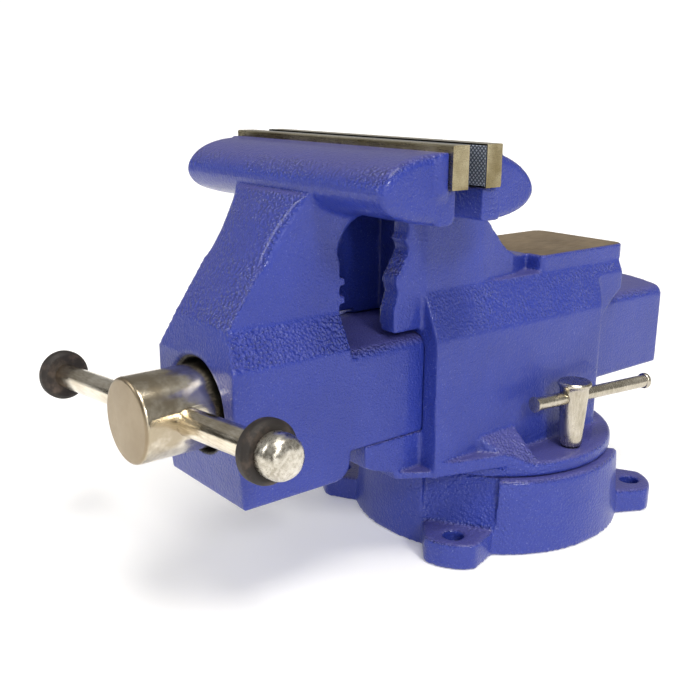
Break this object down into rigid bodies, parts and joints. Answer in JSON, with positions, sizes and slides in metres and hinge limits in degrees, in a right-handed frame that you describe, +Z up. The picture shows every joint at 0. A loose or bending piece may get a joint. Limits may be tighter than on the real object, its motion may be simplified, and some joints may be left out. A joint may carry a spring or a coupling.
{
  "type": "bench vise",
  "caption": "Bench vise on a swivel base: screw-driven sliding jaw with steel jaw plates, pipe jaws, anvil, sliding handle bar and two swivel lock nuts with bars.",
  "frame": {"origin": "on the swivel axis, at the underside of the base, in the middle of its four bolt holes, which lie on a circle of 88 mm radius and make a rectangle turned 6 degrees clockwise (seen from above) from the vise", "axes": "+Z up along the swivel axis; -Y toward the handle end, along the slide; +X across the jaws, completing a right-handed frame"},
  "size_m": [0.2334, 0.3585, 0.22],
  "materials": {
    "casting_enamel": "glossy blue enamel over rough sand-cast iron",
    "jaw_steel": "ground hardened steel",
    "black_fastener": "black oxide",
    "polished_steel": "satin polished steel",
    "plated_steel": "satin zinc plate",
    "turned_steel": "turned steel",
    "bare_iron": "machined cast iron",
    "rubber": "matt black rubber"
  },
  "bodies": {
    "base": {"base_casting": "casting_enamel", "pivot_bolt": "plated_steel", "pivot_washer": "plated_steel", "pivot_nut": "plated_steel"},
    "turret": {"vise_body": "casting_enamel", "rear_jaw_plate": "jaw_steel", "rear_jaw_screws": "black_fastener", "spindle_nut": "bare_iron", "spindle_nut_bolt": "plated_steel", "spindle_nut_washer": "plated_steel", "lock_stud_right": "plated_steel", "lock_stud_left": "plated_steel"},
    "moving_jaw": {"moving_jaw": "casting_enamel", "front_jaw_plate": "jaw_steel", "front_jaw_screws": "black_fastener", "thrust_washer": "turned_steel"},
    "screw": {"lead_screw": "polished_steel", "retaining_collar": "turned_steel", "collar_pin": "turned_steel"},
    "handle": {"handle_bar": "polished_steel", "handle_knob_right": "polished_steel", "handle_knob_left": "polished_steel", "rubber_ring_right": "rubber", "rubber_ring_left": "rubber"},
    "right_lock_nut": {"lock_nut_right": "plated_steel"},
    "left_lock_nut": {"lock_nut_left": "plated_steel"},
    "right_lock_bar": {"lock_bar_right": "plated_steel"},
    "left_lock_bar": {"lock_bar_left": "plated_steel"}
  },
  "joints": [
    {"name": "swivel_turn", "type": "hinge", "parent": "base", "child": "turret", "pos_m": [0, 0, 0.045], "axis": [0, 0, 1], "continuous": true},
    {"name": "jaw_slide", "type": "slide", "parent": "turret", "child": "moving_jaw", "axis": [0, -1, 0], "range_m": [-0.0096, 0.1302]},
    {"name": "screw_turn", "type": "hinge", "parent": "moving_jaw", "child": "screw", "pos_m": [0, -0.214, 0.1004], "axis": [0, -1, 0], "range_deg": [-575, 7800]},
    {"name": "handle_slide", "type": "slide", "parent": "screw", "child": "handle", "axis": [0.9959, 0, 0.0906], "range_m": [-0.0555, 0.096]},
    {"name": "right_lock_turn", "type": "hinge", "parent": "turret", "child": "right_lock_nut", "pos_m": [0.06, 0.004, 0.07], "axis": [0, 0, 1], "range_deg": [-12, 17]},
    {"name": "left_lock_turn", "type": "hinge", "parent": "turret", "child": "left_lock_nut", "pos_m": [-0.06, -0.004, 0.07], "axis": [0, 0, 1], "range_deg": [-12, 17]},
    {"name": "right_lock_bar_slide", "type": "slide", "parent": "right_lock_nut", "child": "right_lock_bar", "axis": [-0.1305, -0.9914, 0], "range_m": [-0.017, 0.045]},
    {"name": "left_lock_bar_slide", "type": "slide", "parent": "left_lock_nut", "child": "left_lock_bar", "axis": [0.1305, 0.9914, 0], "range_m": [-0.017, 0.045]}
  ],
  "couplings": [
    {"joint": "jaw_slide", "follows": "screw_turn", "m_per_rad": 0.00095493}
  ]
}
